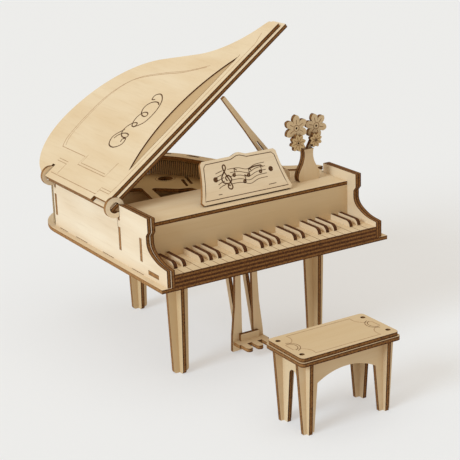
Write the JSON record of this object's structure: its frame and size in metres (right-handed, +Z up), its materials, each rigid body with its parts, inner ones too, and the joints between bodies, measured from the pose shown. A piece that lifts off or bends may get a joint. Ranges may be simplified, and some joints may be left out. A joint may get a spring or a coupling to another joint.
{
  "type": "wooden 3d puzzle piano",
  "caption": "Press-together plywood grand piano model with a hinged lid, a folding prop, a music stand, a vase of flowers and a bench.",
  "frame": {"origin": "centre of the whole model's footprint, on the floor", "axes": "+X from the bass side to the treble side, +Y from the keyboard to the tail, +Z up"},
  "size_m": [0.137, 0.224, 0.1655],
  "materials": {
    "basswood": "bare sanded plywood with charred cut edges",
    "engraved_wood": "bare sanded plywood with burnt engraved lines"
  },
  "bodies": {
    "case": {"key_bed_lower_board": "basswood", "key_bed_upper_board": "basswood", "white_key_board": "basswood", "fallboard": "basswood", "left_side_wall": "basswood", "left_inner_cheek": "basswood", "right_side_wall": "basswood", "right_inner_cheek": "basswood", "curved_side_wall": "basswood", "front_cross_wall": "basswood", "rear_cross_wall": "basswood", "top_shelf": "basswood", "pin_block_strip": "basswood", "rim_board": "basswood", "base_board": "basswood", "soundboard": "basswood", "black_keys_group_1": "basswood", "black_keys_group_2": "basswood", "black_keys_group_3": "basswood", "black_keys_group_4": "basswood", "black_keys_group_5": "basswood", "black_keys_group_6": "basswood", "black_keys_group_7": "basswood", "prop_bracket": "basswood", "prop_pivot_pin": "basswood", "music_stand": "engraved_wood", "music_stand_left_foot": "basswood", "music_stand_right_foot": "basswood", "flower_left": "basswood", "flower_right": "basswood", "flower_low_left": "basswood", "flower_low_right": "basswood", "vase_front_layer": "basswood", "vase_stem_layer": "basswood", "leg_front_left_cross_board": "basswood", "leg_front_left_long_board": "basswood", "leg_front_right_cross_board": "basswood", "leg_front_right_long_board": "basswood", "leg_rear_cross_board": "basswood", "leg_rear_long_board": "basswood", "lyre_left_post": "basswood", "lyre_right_post": "basswood", "lyre_left_stay": "basswood", "lyre_right_stay": "basswood", "lyre_cross_block": "basswood", "pedal_board": "basswood"},
    "lid": {"lid_lower_board": "basswood", "lid_upper_board": "engraved_wood"},
    "prop": {"lid_prop": "basswood"},
    "bench": {"bench_seat_lower_board": "basswood", "bench_seat_upper_board": "engraved_wood", "bench_front_frame": "basswood", "bench_back_frame": "basswood", "bench_left_frame": "basswood", "bench_right_frame": "basswood"}
  },
  "joints": [
    {"name": "lid_hinge", "type": "hinge", "parent": "case", "child": "lid", "pos_m": [-0.06335, 0.04133, 0.0877], "axis": [0, 1, 0], "range_deg": [0, 36.9]},
    {"name": "prop_fold", "type": "hinge", "parent": "case", "child": "prop", "pos_m": [0.03505, 0.00483, 0.0873], "axis": [0, 1, 0], "range_deg": [-53.2, 0]},
    {"name": "bench_slide", "type": "slide", "parent": "case", "child": "bench", "axis": [0, 1, 0], "range_m": [-0.02, 0.045]}
  ],
  "couplings": [
    {"joint": "prop_fold", "follows": "lid_hinge", "ratio": -1.4416}
  ]
}
